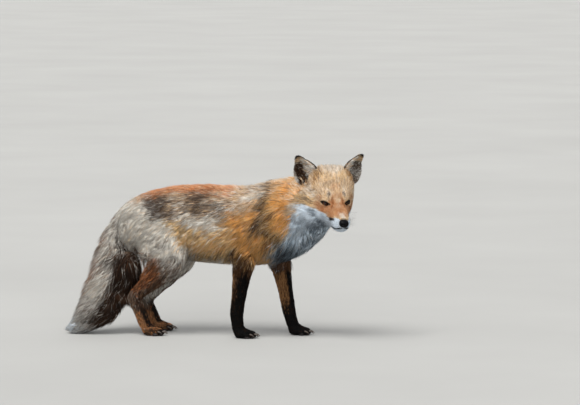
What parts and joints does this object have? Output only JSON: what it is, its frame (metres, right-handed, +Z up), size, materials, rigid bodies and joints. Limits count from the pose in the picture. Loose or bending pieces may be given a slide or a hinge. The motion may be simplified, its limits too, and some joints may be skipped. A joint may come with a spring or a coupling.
{
  "type": "red fox",
  "caption": "Life-size red fox standing with its head turned to its right, bushy tail hanging to the floor and black-stockinged legs, as a still display model.",
  "frame": {"origin": "on the floor, under the middle of the outline's box", "axes": "+X forward along the body, +Y to the animal's left, +Z up; the soles stand at Z = 0"},
  "size_m": [0.7534, 0.1982, 0.4669],
  "materials": {
    "coat": "long matte fur",
    "dark_coat": "short matte black fur",
    "nose_skin": "damp, finely pebbled skin",
    "eye": "wet gloss"
  },
  "bodies": {
    "root": {"chest": "coat", "ear_left": "coat", "ear_right": "coat", "eye_left": "eye", "eye_right": "eye", "foot_hind_left": "dark_coat", "foot_hind_right": "dark_coat", "forearm_fore_left": "dark_coat", "forearm_fore_right": "dark_coat", "head": "coat", "loin": "coat", "neck": "coat", "nose": "nose_skin", "paw_fore_left": "dark_coat", "paw_fore_right": "dark_coat", "rump": "coat", "shank_hind_left": "coat", "shank_hind_right": "coat", "tail": "coat", "thigh_hind_left": "coat", "thigh_hind_right": "coat"}
  },
  "joints": []
}
